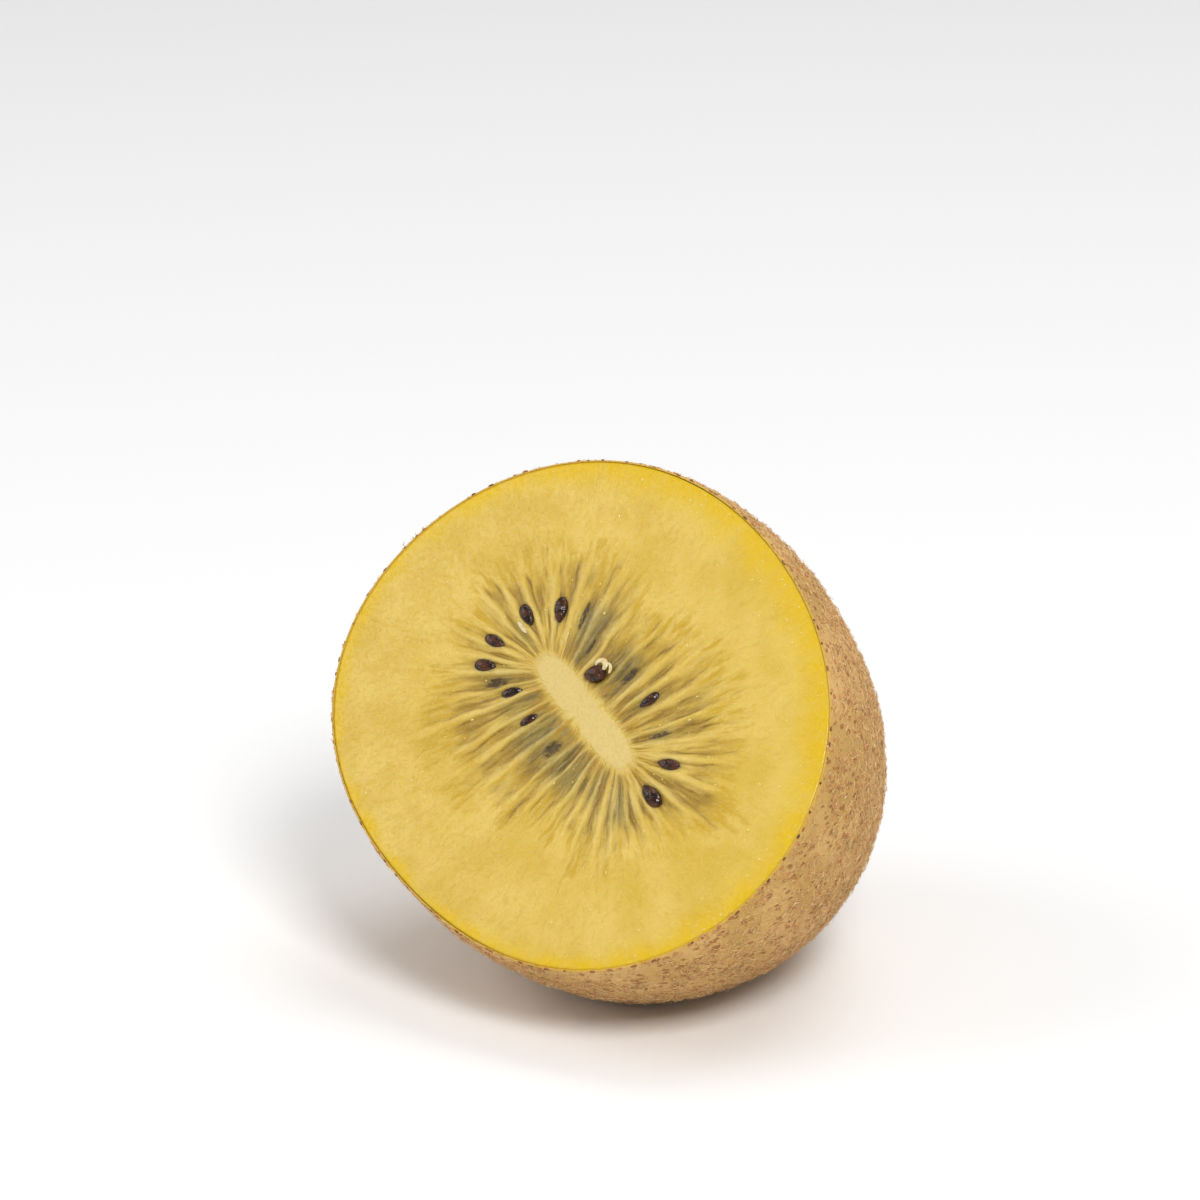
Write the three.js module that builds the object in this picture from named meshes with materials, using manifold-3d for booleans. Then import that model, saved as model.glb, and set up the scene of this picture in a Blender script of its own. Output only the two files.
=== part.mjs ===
// Half of a golden kiwi fruit, lying on its skin with the cut face leaning back.
// Millimetres, +Z up. The origin is on the surface that the fruit lies on, under the middle of its box.
//
// The half is grown in a frame of its own: the cut face is the XY plane there, the face looks along +Z,
// and the fruit reaches down to its stem end on -Z. The last section turns and sets it down.

import * as THREE from "three";
import { mergeVertices } from "three/addons/utils/BufferGeometryUtils.js";
import Module from "manifold-3d";

const wasm = await Module();
wasm.setup();

const degrees = THREE.MathUtils.degToRad;
// 1 at the middle, falling off to both sides
const bell = (x, middle, width) => Math.exp(-(((x - middle) / width) ** 2));

// Driving dimensions of the fruit
const FACE_RADIUS = 27; // mean radius of the cut face
const HALF_LENGTH = 39.5; // from the cut to the stem end
const GIRTH_DEPTH = 5.4; // the fruit is fattest this far below the cut
const BLUNTNESS = [1.85, 1.85]; // 2 and 2 would be an ellipse along the fruit
const OVAL = [1.65, degrees(-30.7)]; // the outline's swell and the bearing of its long way
const THREE_SIDED = [0.32, degrees(-51.6)];
const FOUR_SIDED = [0.18, degrees(6.8)];
const AXIS_DRIFT = [0.06, 0.03]; // the cut isn't quite square: sideways shift per millimetre of depth

// Skin, flesh and core
const SKIN_THICKNESS = 0.6;
const GAP = 0.28; // between neighbours
const CORE_CENTRE = [0.65, -0.05];
const CORE_BEARING = degrees(-35.5);
const CORE_HALF = [8.3, 1.8]; // half length and half width of the core on the cut face
const CORE_ROUNDNESS = 0.72;
const CORE_LENGTH = 31; // down into the fruit
const CORE_TAPER = 0.55; // share of its width that the core has lost at the bottom
const CORE_RISE = 0.25; // it stands a little proud of the cut
const CORE_EDGE = 0.9; // the rounding of its top edge

// Rays and seeds of the cut face
const RAYS = 36;
const RAY_HEIGHT = 0.16;
const RAY_ZONE = [0.03, 0.5]; // shares of the way from the core to the rim where rays start and end
const RAY_FADE = [0.08, 0.14]; // and the shares over which they rise and die away
const UNEVEN = 0.3; // how much rays and scar vary round the fruit
const FACE_SWELL = 0.22; // the cut flesh bulges between rim and core
const SEED = { length: 2.6, width: 1.45, height: 1.5, rise: 0.3, taper: 0.35 };
// Bearing of the ray that each seed lies on, in degrees from the core's long way, and its distance
// from the core's edge in millimetres.
const SEEDS = [
  [0, 4.1], [27, 4.0], [50, 3.5], [74, 4.3], [89, 4.0], [99, 1.8], [127, 5.1], [144, 4.7],
  [169, 4.8], [196, 5.2], [213, 5.5], [225, 4.4], [234, 3.2], [256, 3.2], [272, 3.2],
];

// The woody scar of the stem, and the spot that the fruit lies on
const SCAR = { radius: 6.2, dip: 1.1, rim: 0.5, rimWidth: 1.5, stub: 0.8, stubWidth: 1.7 };
const LEAN = degrees(52.2); // of the cut face, from level
const FLAT_DEPTH = 1.5; // how far the skin is pressed in where it lies
const SAG = { x: -3, y: 11.5, depth: 1, width: 9 }; // soft flesh sinks to its foot, there on the floor

// Net of faces
const AROUND_SKIN = 72;
const AROUND_FLESH = 2 * RAYS; // a crest and a valley to each ray
const AROUND_CORE = 36;
const SIDE_RINGS = 26;
const INNER_RINGS = 9;
const FACE_RINGS = 8;
const POCKET_RINGS = 3;
const CORE_RINGS = 6;
const STEM_CROWDING = 1.25; // rings lie closer together towards the stem

// Outline of the cut face: its radius at a bearing.
function outline(bearing) {
  return (
    FACE_RADIUS +
    OVAL[0] * Math.cos(2 * (bearing - OVAL[1])) +
    THREE_SIDED[0] * Math.cos(3 * (bearing - THREE_SIDED[1])) +
    FOUR_SIDED[0] * Math.cos(4 * (bearing - FOUR_SIDED[1]))
  );
}

// Girth of the fruit at a depth below the cut, as a share of the cut face's.
function girth(depth, length) {
  const swell = (d) => {
    const along = Math.abs((d - GIRTH_DEPTH) / (length - GIRTH_DEPTH));
    return Math.max(0, 1 - along ** BLUNTNESS[0]) ** (1 / BLUNTNESS[1]);
  };
  return swell(depth) / swell(0);
}

// Straight down, and level towards the back, as the leaning fruit sees it.
const DOWN = new THREE.Vector3(0, -Math.sin(LEAN), -Math.cos(LEAN));
const BACK = new THREE.Vector3(0, Math.cos(LEAN), -Math.sin(LEAN));

// A point of the fruit's side, inset from the skin's surface. climb is 0 at the stem end and 1 at the cut.
// The scar's rim and the stub of the stalk stand on the skin's outside.
function roundSide(turn, climb, inset) {
  const bearing = turn + CORE_BEARING;
  const length = HALF_LENGTH - inset;
  const depth = length * Math.cos((climb ** STEM_CROWDING * Math.PI) / 2);
  const radius = (outline(bearing) - inset) * girth(depth, length);
  let relief = -SCAR.dip * bell(radius, 0, SCAR.radius);
  if (inset === 0) {
    relief += SCAR.rim * bell(radius, SCAR.radius, SCAR.rimWidth) * (1 + UNEVEN * Math.sin(5 * turn));
    relief += SCAR.stub * bell(radius, 0, SCAR.stubWidth);
  }
  return new THREE.Vector3(
    radius * Math.cos(bearing) + AXIS_DRIFT[0] * depth,
    radius * Math.sin(bearing) + AXIS_DRIFT[1] * depth,
    -depth - relief,
  );
}

// How far the fruit reaches down before it is pressed flat.
function reachDown() {
  let reach = 0;
  for (let i = 0; i < 360; i++)
    for (let j = 0; j <= 90; j++) reach = Math.max(reach, roundSide(degrees(i), j / 90, 0).dot(DOWN));
  return reach;
}
const FLOOR = reachDown() - FLAT_DEPTH;
const FOOT = new THREE.Vector3(SAG.x).addScaledVector(BACK, SAG.y).addScaledVector(DOWN, FLOOR);

// Sinks a point towards the foot, and presses it up out of the surface that the fruit lies on.
function rested(point, inset) {
  point.addScaledVector(DOWN, SAG.depth * bell(point.distanceTo(FOOT), 0, SAG.width));
  const below = point.dot(DOWN) - (FLOOR - inset);
  return below > 0 ? point.addScaledVector(DOWN, -below) : point;
}

// The middle of the core, which follows the fruit's axis.
function coreMiddle(depth) {
  const drift = Math.max(0, depth);
  return new THREE.Vector3(
    CORE_CENTRE[0] + AXIS_DRIFT[0] * drift,
    CORE_CENTRE[1] + AXIS_DRIFT[1] * drift,
    -depth,
  );
}

// The core's outline, wider by an extra margin, at a depth below the cut.
function coreOutline(turn, extra, depth) {
  const share = 1 - CORE_TAPER * (Math.max(0, depth) / CORE_LENGTH) ** 1.6;
  const blunt = (x) => Math.sign(x) * Math.abs(x) ** CORE_ROUNDNESS;
  const along = (CORE_HALF[0] * share + extra) * blunt(Math.cos(turn));
  const across = (CORE_HALF[1] * share + extra) * blunt(Math.sin(turn));
  const [cos, sin] = [Math.cos(CORE_BEARING), Math.sin(CORE_BEARING)];
  const middle = coreMiddle(depth);
  return new THREE.Vector3(
    middle.x + along * cos - across * sin,
    middle.y + along * sin + across * cos,
    middle.z,
  );
}

// A point of the cut face on the ray at a turn, a share of the way from the core to the rim.
function facePoint(turn, share) {
  const inset = SKIN_THICKNESS + GAP;
  const core = coreOutline(turn, GAP, 0);
  const point = core.lerp(roundSide(turn, 1, inset), share);
  const [start, end] = RAY_ZONE;
  const zone = Math.min(1, (share - start) / RAY_FADE[0], (end - share) / RAY_FADE[1]);
  const ray = RAY_HEIGHT * Math.cos(RAYS * turn) * Math.max(0, zone) * (1 + UNEVEN * Math.sin(5 * turn));
  point.z += ray + FACE_SWELL * Math.sin(Math.PI * share);
  return point;
}

// A closed net of faces: a lathe's, with each vertex put where place(turn, ring) says. The first and the last
// ring are single points. Rings run from the stem end up to the cut on the outside, so that faces look out.
function closedNet(around, rings, place) {
  const profile = Array.from({ length: rings + 1 }, (_, j) => new THREE.Vector2(j % rings ? 1 : 0, j));
  const net = new THREE.LatheGeometry(profile, around);
  const position = net.getAttribute("position");
  for (let k = 0; k < position.count; k++) {
    const i = Math.floor(k / (rings + 1)) % around;
    const point = place((2 * Math.PI * i) / around, k % (rings + 1));
    position.setXYZ(k, point.x, point.y, point.z);
  }
  net.deleteAttribute("normal");
  net.deleteAttribute("uv");
  return mergeVertices(net, 1e-4);
}

// Skin: a thin shell, from the stem scar up to the cut and back down its inside.
function skinNet() {
  const last = SIDE_RINGS + 1 + INNER_RINGS;
  return closedNet(AROUND_SKIN, last, (turn, ring) => {
    if (ring <= SIDE_RINGS) return rested(roundSide(ring ? turn : 0, ring / SIDE_RINGS, 0), 0);
    const climb = (last - ring) / INNER_RINGS;
    return rested(roundSide(turn, climb, SKIN_THICKNESS), SKIN_THICKNESS);
  });
}

// Flesh: up its side, over the cut face to the core, and down the hole that the core fills.
function fleshNet() {
  const inset = SKIN_THICKNESS + GAP;
  const rim = INNER_RINGS;
  const hole = rim + FACE_RINGS;
  const last = hole + POCKET_RINGS + 1;
  return closedNet(AROUND_FLESH, last, (turn, ring) => {
    if (ring <= rim) return rested(roundSide(turn, ring / rim, inset), inset);
    if (ring <= hole) return facePoint(turn, (hole - ring) / FACE_RINGS);
    if (ring === last) return coreMiddle(CORE_LENGTH + GAP);
    return coreOutline(turn, GAP, ((ring - hole) / POCKET_RINGS) * (CORE_LENGTH + GAP));
  });
}

// Core: a peg that narrows towards the stem, with a rounded top.
function coreNet() {
  const last = CORE_RINGS + 3;
  return closedNet(AROUND_CORE, last, (turn, ring) => {
    if (ring === 0) return coreMiddle(CORE_LENGTH);
    if (ring === last) return coreMiddle(-CORE_RISE);
    if (ring <= CORE_RINGS) return coreOutline(turn, 0, CORE_LENGTH * (1 - (ring - 1) / (CORE_RINGS - 1)));
    const rounding = (ring - CORE_RINGS) / 2;
    return coreOutline(turn, -CORE_EDGE * rounding, 0).setZ(CORE_RISE * rounding);
  });
}

// A closed net as a solid that can be joined, and back again.
function solid(geometry) {
  const vertProperties = geometry.getAttribute("position").array;
  return new wasm.Manifold(
    new wasm.Mesh({ numProp: 3, vertProperties, triVerts: new Uint32Array(geometry.index.array) }),
  );
}
function geometryOf(manifold) {
  const { vertProperties, triVerts } = manifold.getMesh();
  const geometry = new THREE.BufferGeometry();
  geometry.setAttribute("position", new THREE.BufferAttribute(vertProperties, 3));
  geometry.setIndex(new THREE.BufferAttribute(triVerts, 1));
  return geometry;
}

// A seed: an egg lying along its ray, half sunk in the flesh, with its blunt end outwards.
function seedNet([bearing, distance]) {
  const turn = degrees(bearing);
  const core = facePoint(turn, 0);
  const along = facePoint(turn, 1).sub(core).setZ(0);
  const middle = facePoint(turn, distance / along.length());
  const egg = new THREE.SphereGeometry(0.5, 8, 6).rotateZ(-Math.PI / 2);
  const position = egg.getAttribute("position");
  for (let k = 0; k < position.count; k++) {
    const slim = 1 + SEED.taper * position.getX(k);
    position.setY(k, position.getY(k) * slim);
    position.setZ(k, position.getZ(k) * slim);
  }
  egg.scale(SEED.length, SEED.width, SEED.height);
  egg.rotateZ(Math.atan2(along.y, along.x)).translate(middle.x, middle.y, SEED.rise);
  egg.deleteAttribute("normal");
  egg.deleteAttribute("uv");
  return mergeVertices(egg, 1e-4);
}

// The flesh with its seeds joined to it.
function fleshWithSeeds() {
  let flesh = solid(fleshNet());
  for (const seed of SEEDS) flesh = flesh.add(solid(seedNet(seed)));
  return geometryOf(flesh);
}

// A named piece with its colour.
function named(name, geometry, color, roughness) {
  geometry.computeVertexNormals();
  const material = new THREE.MeshStandardMaterial({ color, roughness, metalness: 0 });
  const mesh = new THREE.Mesh(geometry, material);
  mesh.name = name;
  return mesh;
}

// The half is turned so that its cut face leans back, and set down on the spot that is pressed flat.
const half = new THREE.Group();
half.add(
  named("skin", skinNet(), 0xb88a52, 0.85),
  named("flesh_with_seeds", fleshWithSeeds(), 0xe2bf5a, 0.35),
  named("core", coreNet(), 0xead08a, 0.5),
);
half.rotation.x = LEAN;
half.updateMatrixWorld(true);
const box = new THREE.Box3().setFromObject(half, true);
const middle = box.getCenter(new THREE.Vector3());
half.position.set(-middle.x, -middle.y, FLOOR);

const kiwi = new THREE.Group();
kiwi.add(half);
export default kiwi;
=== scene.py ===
# Half of a golden kiwi fruit, cut across and lying on its skin.
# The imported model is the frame. Shapes are worked out in the fruit's own frame, in millimetres: its cut face
# is the XY plane, +Z looks out of the cut, and the stem end lies on -Z. They are then turned and set down.

import math

import bmesh
import bpy
import numpy as np
from mathutils import Matrix, Vector, noise


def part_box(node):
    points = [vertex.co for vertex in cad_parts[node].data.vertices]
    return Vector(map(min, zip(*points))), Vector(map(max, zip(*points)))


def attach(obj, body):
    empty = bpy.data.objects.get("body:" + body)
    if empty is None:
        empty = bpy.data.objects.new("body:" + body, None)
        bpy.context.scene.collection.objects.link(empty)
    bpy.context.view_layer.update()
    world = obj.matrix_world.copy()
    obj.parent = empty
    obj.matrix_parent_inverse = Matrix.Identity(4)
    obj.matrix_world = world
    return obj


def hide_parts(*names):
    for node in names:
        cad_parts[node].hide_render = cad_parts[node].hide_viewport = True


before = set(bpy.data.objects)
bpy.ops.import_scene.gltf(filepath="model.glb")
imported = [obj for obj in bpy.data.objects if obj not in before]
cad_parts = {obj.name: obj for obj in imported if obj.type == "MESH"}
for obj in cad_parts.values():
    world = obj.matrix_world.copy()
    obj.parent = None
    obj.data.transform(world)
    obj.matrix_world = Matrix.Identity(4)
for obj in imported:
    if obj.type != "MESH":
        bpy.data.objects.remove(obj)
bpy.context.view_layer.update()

# Skin
# The peel is a dry, tan-brown layer grown onto the flesh, a quarter of a millimetre thick where the knife
# went through it. It is pressed flat where the fruit lies, and the woody scar of the stalk is at its far end.

FACE_RADIUS = 27.0
HALF_LENGTH = 39.5
# How far behind the cut the fruit is widest, and how full its end is
GIRTH_DEPTH = 5.4
BLUNTNESS = 1.85
# How far the cut's outline stands out from a circle, and the bearing where it does so most
OVAL = (1.65, math.radians(-30.7))
THREE_SIDED = (0.32, math.radians(-51.6))
FOUR_SIDED = (0.18, math.radians(6.8))
# How far the fruit's axis moves in x and y for each millimetre of depth
AXIS_DRIFT = (0.06, 0.03)
CORE_BEARING = math.radians(-35.5)
# The stalk's scar: its dip, and the height and width of the rim round it and of the stub in its middle
SCAR_RADIUS = 6.2
SCAR_DIP = 1.1
SCAR_RIM = (0.5, 1.5)
STALK_STUB = (0.8, 1.7)
RIM_UNEVENNESS = 0.3
STEM_CROWDING = 1.25
LEAN = math.radians(52.2)
# How deep the fruit is pressed flat, where its foot is, and how far and how widely it sags there
FLAT_DEPTH = 1.5
FOOT_PLACE = (-3.0, 11.5)
FOOT_SAG = (1.0, 9.0)

PEEL = 0.25
CUT_LIP = 0.04
# The height and the size of the skin's unevenness
SWELLS = (0.16, 9.0)
DENTS = (0.07, 2.4)
GRAIN = (0.035, 0.8)
SKIN_AROUND = 440
SKIN_ROWS = 150
LINING_ROWS = 12


def bell(x, middle, width):
    return np.exp(-(((x - middle) / width) ** 2))


def outline(bearing):
    return (
        FACE_RADIUS
        + OVAL[0] * np.cos(2 * (bearing - OVAL[1]))
        + THREE_SIDED[0] * np.cos(3 * (bearing - THREE_SIDED[1]))
        + FOUR_SIDED[0] * np.cos(4 * (bearing - FOUR_SIDED[1]))
    )


def girth(depth, length):
    def swell(d):
        along = np.abs((d - GIRTH_DEPTH) / (length - GIRTH_DEPTH))
        return np.maximum(0, 1 - along**BLUNTNESS) ** (1 / BLUNTNESS)

    return swell(depth) / swell(0.0)


def uneven(points, height, size):
    """Smooth random ups and downs of that height, with lumps of that size."""
    return height * np.array([noise.noise(Vector(p) / size) for p in points])


def outward(points):
    away = points - (0, 0, -GIRTH_DEPTH)
    return away / np.linalg.norm(away, axis=1)[:, None]


def side(turn, climb, inset, scarred):
    """Points of the fruit's side under its skin by inset. climb is 0 at the stem end and 1 at the cut."""
    bearing = turn + CORE_BEARING
    length = HALF_LENGTH - inset
    depth = length * np.cos(climb**STEM_CROWDING * math.pi / 2)
    radius = (outline(bearing) - inset) * girth(depth, length)
    relief = -SCAR_DIP * bell(radius, 0, SCAR_RADIUS)
    rim = SCAR_RIM[0] * bell(radius, SCAR_RADIUS, SCAR_RIM[1]) * (1 + RIM_UNEVENNESS * np.sin(5 * turn))
    stub = STALK_STUB[0] * bell(radius, 0, STALK_STUB[1])
    relief = relief + scarred * (rim + stub)
    x = radius * np.cos(bearing) + AXIS_DRIFT[0] * depth
    y = radius * np.sin(bearing) + AXIS_DRIFT[1] * depth
    points = np.stack([x, y, -depth - relief], axis=1)
    return points + outward(points) * uneven(points, *SWELLS)[:, None] * (depth > 1e-6)[:, None]


DOWN = np.array([0, -math.sin(LEAN), -math.cos(LEAN)])
LEVEL = np.array([0, math.cos(LEAN), -math.sin(LEAN)])
probe_net = np.meshgrid(np.radians(range(0, 360, 2)), np.linspace(0, 1, 91))
probe = side(probe_net[0].ravel(), probe_net[1].ravel(), 0.0, 0.0)
FLOOR = (probe @ DOWN).max() - FLAT_DEPTH
FOOT = np.array([FOOT_PLACE[0], 0, 0]) + FOOT_PLACE[1] * LEVEL + FLOOR * DOWN


def off_floor(points, inset):
    """The points, with those below the surface that the fruit lies on moved up to it."""
    below = np.maximum(0, points @ DOWN - (FLOOR - inset))
    return points - below[:, None] * DOWN


def rested(points, inset):
    """The points, sunk towards the foot and pressed flat on the floor, as soft flesh is by its own weight."""
    sag = FOOT_SAG[0] * bell(np.linalg.norm(points - FOOT, axis=1), 0, FOOT_SAG[1])
    return off_floor(points + sag[:, None] * DOWN, inset)


TURNED = np.array(Matrix.Rotation(LEAN, 3, "X")).T
leaning = rested(probe, 0) @ TURNED
middle = (leaning.min(0) + leaning.max(0)) / 2
cad_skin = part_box("skin")
cad_middle = (cad_skin[0] + cad_skin[1]) * 500
PLACE = np.array([cad_middle.x - middle[0], cad_middle.y - middle[1], FLOOR])


def settled(points):
    """Points of the fruit's own frame, in the part's frame and in metres."""
    return (points @ TURNED + PLACE) * 0.001


def on_stage(name, mesh):
    piece = bpy.data.objects.new(name, mesh)
    bpy.context.scene.collection.objects.link(piece)
    return piece


def wrapped(name, around, rows, place):
    """A closed skin of around by rows faces, drawn from a flat net and merged where its edges meet."""
    net = bmesh.new()
    bmesh.ops.create_grid(net, x_segments=around, y_segments=rows, size=0.5)
    mesh = bpy.data.meshes.new(name)
    net.to_mesh(mesh)
    flat = np.empty(3 * len(mesh.vertices))
    mesh.vertices.foreach_get("co", flat)
    share = flat.reshape(-1, 3)[:, :2] + 0.5
    points, traits = place(share[:, 0] * 2 * math.pi, np.rint(share[:, 1] * rows).astype(int))
    mesh.vertices.foreach_set("co", settled(points).ravel())
    for trait, values in traits.items():
        layer = mesh.attributes.new(trait, "FLOAT_VECTOR", "POINT")
        layer.data.foreach_set("vector", np.stack(values, axis=1).ravel())
    net.clear()
    net.from_mesh(mesh)
    bmesh.ops.remove_doubles(net, verts=net.verts, dist=2e-7)
    bmesh.ops.recalc_face_normals(net, faces=net.faces)
    net.to_mesh(mesh)
    net.free()
    mesh.shade_smooth()
    return on_stage(name, mesh)


def peel_outside(turn, climb):
    """Points of the skin's outside with its dents and grain."""
    points = side(turn, climb, 0.0, 1.0)
    calm = np.minimum(1, (1 - climb) * 30)
    rough = uneven(points, *DENTS) + uneven(points + 50, *GRAIN)
    return rested(points + outward(points) * (rough * calm)[:, None], 0)


def skin_rows(turn, row):
    """The skin's outside from the stem end up to the cut, its cut edge, and its lining back down."""
    lining = np.clip((row - SKIN_ROWS - 2) / LINING_ROWS, 0, 1)
    climb = np.where(row <= SKIN_ROWS, row / SKIN_ROWS, 1 - lining)
    inset = PEEL * np.clip((row - SKIN_ROWS) / 3, 0, 1)
    points = np.where(
        (row <= SKIN_ROWS)[:, None],
        peel_outside(turn, climb),
        rested(side(turn, climb, inset, 0.0), PEEL),
    )
    points[:, 2] += CUT_LIP * np.isin(row, (SKIN_ROWS + 1, SKIN_ROWS + 2))
    x, y = (points[:, k] - AXIS_DRIFT[k] * HALF_LENGTH for k in (0, 1))
    stem = np.where(points[:, 2] < -HALF_LENGTH / 2, np.hypot(x, y), FACE_RADIUS)
    cut = np.where(row <= SKIN_ROWS, -points[:, 2], 0)
    return points, {"from_stem_and_cut": (stem, cut, 0 * cut)}


skin = wrapped("skin", SKIN_AROUND, SKIN_ROWS + 3 + LINING_ROWS, skin_rows)


def material(name):
    made = bpy.data.materials.new(name)
    made.use_nodes = True
    return made, made.node_tree, made.node_tree.nodes["Principled BSDF"]


def feed(tree, node, inputs):
    """Sets a node's inputs to values, or links them to other nodes' outputs."""
    for key, value in inputs.items():
        socket = node.inputs[key]
        if isinstance(value, bpy.types.NodeSocket):
            tree.links.new(value, socket)
        else:
            socket.default_value = (*value, 1.0) if socket.type == "RGBA" else value


def add(tree, kind, inputs, **settings):
    """A new shader node with its settings and its inputs."""
    node = tree.nodes.new("ShaderNode" + kind)
    for key, value in settings.items():
        setattr(node, key, value)
    feed(tree, node, inputs)
    return node


def object_place(tree):
    return add(tree, "TexCoord", {}).outputs["Object"]


def mixed(tree, share, first, second):
    """The output of a colour mix of first and second."""
    return add(tree, "Mix", {0: share, 6: first, 7: second}, data_type="RGBA").outputs[2]


def reckoned(tree, operation, first, second):
    """The output of a Math node on two values."""
    return add(tree, "Math", {0: first, 1: second}, operation=operation).outputs[0]


def times(tree, first, second):
    return reckoned(tree, "MULTIPLY", first, second)


def spread(tree, value, low, high):
    """value drawn out so that low to high fills 0 to 1, with soft ends."""
    inputs = {"Value": value, "From Min": low, "From Max": high}
    return add(tree, "MapRange", inputs, interpolation_type="SMOOTHSTEP").outputs["Result"]


def attribute(tree, name, output="Vector"):
    return add(tree, "Attribute", {}, attribute_name=name).outputs[output]


def parts(tree, vector):
    return add(tree, "SeparateXYZ", {0: vector}).outputs


def raised(tree, height, strength, distance, over=None):
    """The normal of a surface with that height on it, up to distance in metres, over another normal."""
    inputs = {"Height": height, "Strength": strength, "Distance": distance}
    if over is not None:
        inputs["Normal"] = over
    return add(tree, "Bump", inputs).outputs[0]


def effect(name, output, **inputs):
    """A new node group with one output, and its inputs' names, kinds and first values."""
    tree = bpy.data.node_groups.new(name, "ShaderNodeTree")
    for label, (kind, value) in inputs.items():
        label = label.replace("_", " ")
        socket = tree.interface.new_socket(label, in_out="INPUT", socket_type="NodeSocket" + kind)
        socket.default_value = value
    tree.interface.new_socket(output[0], in_out="OUTPUT", socket_type="NodeSocket" + output[1])
    return tree, tree.nodes.new("NodeGroupInput").outputs, tree.nodes.new("NodeGroupOutput").inputs[0]


def patches(tree, coordinates, size, least, most, detail=2.0):
    """Where patches of that size lie: nothing up to the noise value least, and all from most on."""
    inputs = {"Coordinates": coordinates, "Size": size, "Least": least, "Most": most, "Detail": detail}
    return add(tree, "Group", inputs, node_tree=patchy).outputs[0]


def bent_by(tree, coordinates, size, most):
    """Coordinates shifted this way and that by as much as most, so that a pattern on them isn't straight."""
    inputs = {"Coordinates": coordinates, "Size": size, "Most": most}
    return add(tree, "Group", inputs, node_tree=bent).outputs[0]


patchy, given, result = effect(
    "Patches", ("Share", "Float"), Coordinates=("Vector", (0, 0, 0)), Size=("Float", 0.001),
    Least=("Float", 0.4), Most=("Float", 0.6), Detail=("Float", 2.0),
)
fineness = reckoned(patchy, "DIVIDE", 1.0, given["Size"])
inputs = {"Vector": given["Coordinates"], "Scale": fineness, "Detail": given["Detail"]}
lumps = add(patchy, "TexNoise", inputs)
patchy.links.new(spread(patchy, lumps.outputs["Fac"], given["Least"], given["Most"]), result)

bent, given, result = effect(
    "Bent coordinates", ("Coordinates", "Vector"), Coordinates=("Vector", (0, 0, 0)),
    Size=("Float", 0.001), Most=("Float", 0.001),
)
fineness = reckoned(bent, "DIVIDE", 1.0, given["Size"])
shift = add(bent, "TexNoise", {"Vector": given["Coordinates"], "Scale": fineness}).outputs["Color"]
shift = add(bent, "VectorMath", {0: shift, 1: (0.5, 0.5, 0.5)}, operation="SUBTRACT").outputs[0]
shift = add(bent, "VectorMath", {0: shift, "Scale": given["Most"]}, operation="SCALE").outputs[0]
moved = add(bent, "VectorMath", {0: shift, 1: given["Coordinates"]}, operation="ADD")
bent.links.new(moved.outputs[0], result)

SKIN_TAN = (0.680, 0.420, 0.148)
SKIN_GOLD = (0.545, 0.325, 0.092)
SKIN_RUSSET = (0.500, 0.225, 0.080)
PORE_BROWN = (0.360, 0.125, 0.035)
SCAR_BROWN = (0.200, 0.105, 0.045)
CUT_YELLOW = (0.620, 0.380, 0.050)

# Sizes in a material are in metres, as its coordinates are, but the skin's own attribute is in millimetres
SKIN_PATCH = 0.008
SKIN_BLOT = 0.0007
BLOT_STRENGTH = 0.32
# Marks in the skin are drawn out round the fruit by this much
MARK_STRETCH = 1.7
# The pores: their spacing, their width as a share of it, their softness, and how far from round they are
PORE_SPACING = 0.0011
PORE_WIDTH = 0.48
PORE_SOFTNESS = 0.12
PORE_BEND = (0.00045, 0.0004)
PORE_STRENGTH = 0.85
SCAR_EDGE = (SCAR_RADIUS + 1.6, SCAR_RADIUS - 0.5)
# The yellow edge that the knife left: the size of its teeth, their depth, and its softness
CUT_TOOTH = 0.0005
CUT_TOOTH_DEPTH = 0.4
CUT_FADE = (-0.05, 0.25)
SKIN_PITS = 0.00028

skin_material, tree, shader = material("kiwi skin")
place = object_place(tree)
stem, cut, _ = parts(tree, attribute(tree, "from_stem_and_cut"))
inputs = {"Vector": place, "Rotation": (-LEAN, 0, 0), "Scale": (1, 1, MARK_STRETCH)}
along_girth = add(tree, "Mapping", inputs).outputs[0]
colour = mixed(tree, patches(tree, place, SKIN_PATCH, 0.38, 0.62, 4.0), SKIN_TAN, SKIN_GOLD)
blots = patches(tree, along_girth, SKIN_BLOT, 0.50, 0.68)
colour = mixed(tree, times(tree, blots, BLOT_STRENGTH), colour, SKIN_RUSSET)
inputs = {"Vector": bent_by(tree, along_girth, *PORE_BEND), "Scale": 1 / PORE_SPACING}
pore = add(tree, "TexVoronoi", inputs).outputs
pore_size = times(tree, parts(tree, pore["Color"])[0], PORE_WIDTH)
pore_share = reckoned(tree, "SUBTRACT", pore_size, pore["Distance"])
pore_here = spread(tree, pore_share, 0.0, PORE_SOFTNESS)
colour = mixed(tree, times(tree, pore_here, PORE_STRENGTH), colour, PORE_BROWN)
colour = mixed(tree, spread(tree, stem, *SCAR_EDGE), colour, SCAR_BROWN)
ragged = times(tree, patches(tree, place, CUT_TOOTH, 0.25, 0.75), CUT_TOOTH_DEPTH)
cut_here = spread(tree, reckoned(tree, "SUBTRACT", ragged, cut), *CUT_FADE)
colour = mixed(tree, cut_here, colour, CUT_YELLOW)
normal = raised(tree, patches(tree, place, SKIN_PITS, 0.3, 0.7, 3.0), 0.5, 0.00012)
normal = raised(tree, pore_here, 0.7, 0.0002, normal)
feed(tree, shader, {
    "Base Color": colour, "Normal": normal, "Roughness": 0.7, "Specular IOR Level": 0.3,
})
skin.data.materials.append(skin_material)

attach(skin, "root")
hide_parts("skin")

# Lenticels
# The skin's breathing pores stand on it as low corky warts, longer round the fruit than along it. They grow
# out of the skin, so each one is sunk halfway into it. The knife went through a row of them at the cut.

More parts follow.
